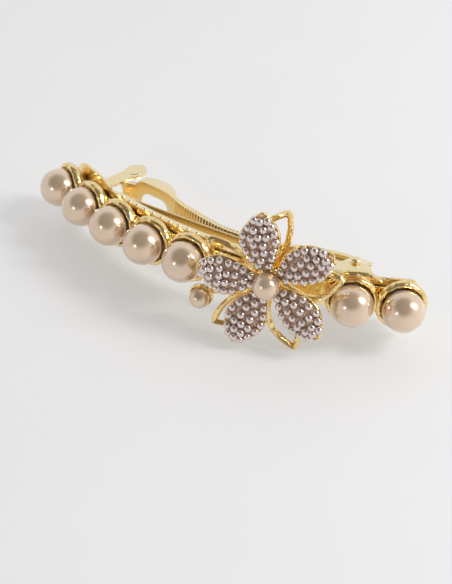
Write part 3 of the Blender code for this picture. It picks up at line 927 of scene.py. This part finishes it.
openwork = spun([(0, -0.55), (2.9, -0.55), (3.1, -0.4), (3.1, 0.1), (2.9, 0.25), (0, 0.25)], 48)
for number, (degrees, reach, bow) in enumerate(LOOPS):
    loop = ridged(loop_line(reach, bow), lambda u: 0.55, 0.99, True)
    hammer(loop, 0.2, 0.95, 7.0 * number)
    add_to(openwork, loop, Matrix.Rotation(math.radians(degrees), 4, 'Z'))
finish_piece("open_loops", openwork, flower, "clip", wire_gold, 30.0, ("flower_openwork",))

# %% Side pearl's cup
SIDE_SPOT = (-12.4, -7.4, 0.8)
side_cup = spun([(0, -2.8), (0.9, -2.75), (1.5, -2.5), (1.95, -2.1), (2.22, -1.7), (2.36, -1.35), (2.3, -1.12),
                 (2.12, -1.05), (1.98, -1.2), (1.75, -1.5), (1.15, -2.0), (0, -2.3)], 40)
hammer(side_cup, 0.12, 0.8, 2.0)
x, y, z = SIDE_SPOT
stem_line = flow([(x, y, z - 2.6), (x + 2.0, y + 1.1, -1.1), (x + 4.4, y + 2.1, -0.5),
                  (x + 6.8, y + 2.6, -0.1)], 8)
side_mount = ridged(stem_line, lambda u: 0.6, 0.9)
hammer(side_mount, 0.12, 0.8, 4.0)
add_to(side_mount, side_cup, Matrix.Translation(SIDE_SPOT))
finish_piece("side_cup", side_mount, flower, "clip", wire_gold, 30.0, ("flower_openwork",))

# %% [markdown]
# ## Petals
#
# The petals are one casting soldered over the loops: five cupped leaves with a raised rim that
# keeps the glue in, round a cup for the middle pearl. Each leaf is sheet again. Its rim is a
# rounded bead of metal that follows the outline, made as wire.

# %% Petal shapes
PETALS = ((106.0, 14.0, 1.3), (181.0, 13.2, 1.2), (250.0, 14.2, 0.0), (324.0, 13.8, 0.2), (40.0, 14.0, 0.2))
PETAL_IN = 1.8


def petal_half(u):
    return 0.12 + 3.6 * math.sin(math.pi * min(0.06 + 0.94 * u, 1) ** 1.3) ** 0.8


def petal_height(u, v):
    """The petal rises outwards and is domed across."""
    return 1.1 + 1.5 * u ** 1.4 + 0.7 * (1 - v * v) * math.sin(math.pi * min(max(u, 0), 1)) ** 0.5


def petal_point(petal, x, v, margin=0.0, lift=0.0):
    """Point of a petal of a given (turn, reach, bend) at x out from the hub and v across."""
    reach, bend = petal[1:]
    u = (x - PETAL_IN) / (reach - PETAL_IN)
    half = max(petal_half(u) - margin, 0.1)
    middle_line = bend * (0.55 * math.sin(math.pi * min(u, 1)) - 0.75 * u * u)
    return Vector((x, v * half + middle_line, petal_height(u, v) + lift))


# %% Petal castings
hub_profile = [(0, 0.55), (2.5, 0.55), (2.65, 0.8), (2.55, 1.1), (2.35, 1.4), (2.2, 1.6), (2.05, 1.62),
               (1.9, 1.4), (1.2, 1.05), (0, 0.75)]
petals = spun(hub_profile, 48)
for number, petal in enumerate(PETALS):
    long = petal[1] - PETAL_IN
    leaf = sheet(28, 8, lambda i, j: petal_point(petal, PETAL_IN + long * i / 28, j / 4 - 1), 0.5, 0.1)
    edges = [[petal_point(petal, PETAL_IN + long * k / 30, side, 0.1, 0.1) for k in range(1, 31)]
             for side in (1, -1)]
    rim = ridged(edges[0] + edges[1][-2::-1], lambda u: 0.22, 0.5)
    add_to(leaf, rim)
    hammer(leaf, 0.1, 0.9, 6.0 * number)
    add_to(petals, leaf, Matrix.Rotation(math.radians(petal[0]), 4, 'Z'))
finish_piece("petal_casting", petals, flower, "clip", wire_gold, 30.0, ("flower_petals",))

# %% [markdown]
# ## Beads in glue
#
# Each petal is filled with brown glue and paved with seed beads, placed by hand in rough rows, so
# no two petals are quite alike. One bead is a ball of 80 faces, copied for every place; the places
# are rows across the petal, each nudged a little by a seeded draw.

# %% Bead beds
BEAD_R = 0.81
BED_IN = 0.3
FULL_REACH = 14.0
BEAD_ROWS = ((3.3, 2), (4.7, 3), (6.25, 4), (7.9, 4), (9.5, 5), (11.1, 4), (12.5, 3))
bead_total = 0
for number, petal in enumerate(PETALS, 1):
    draw = random.Random(40 + number)
    turned = flower @ Matrix.Rotation(math.radians(petal[0]), 4, 'Z')
    stretch = petal[1] / FULL_REACH
    long = petal[1] - 3.2
    bed = sheet(24, 8, lambda i, j: petal_point(petal, 2.6 + long * i / 24, j / 4 - 1, BED_IN, BED_IN), 0.3, 0.06)
    hammer(bed, 0.25, 1.3, 3.0 * number)
    finish_piece(f"glue_{number}", bed, turned, "clip", petal_glue, 60.0, (f"bead_bed_{number}",))
    paving = bmesh.new()
    for x, count in BEAD_ROWS:
        for k in range(count):
            v = (2 * k - (count - 1)) / max(count - 0.5, 1)
            x_spot = (x + draw.uniform(-0.16, 0.16) + 0.3 * v * v) * stretch
            spot = petal_point(petal, x_spot, v + draw.uniform(-0.04, 0.04), BED_IN, 0.62 - 0.12 * v * v)
            size = BEAD_R * draw.uniform(0.95, 1.04)
            ball = bmesh.new()
            bmesh.ops.create_icosphere(ball, subdivisions=2, radius=size)
            add_to(paving, ball, Matrix.Translation(spot))
            bead_total += 1
    finish_piece(f"beads_{number}", paving, turned, "clip", seed_silver, 180.0, (f"bead_bed_{number}",))
print("beads:", bead_total)

# %% Flower post
finish_piece("solder_post", spun([(0, -4.0), (1.7, -4.0), (1.5, -3.8), (1.5, -1.1), (1.7, -0.86), (0, -0.86)], 40),
             on_arch(flower_t, flower_y), "clip", plate_gold, 40.0, ("flower_post",))
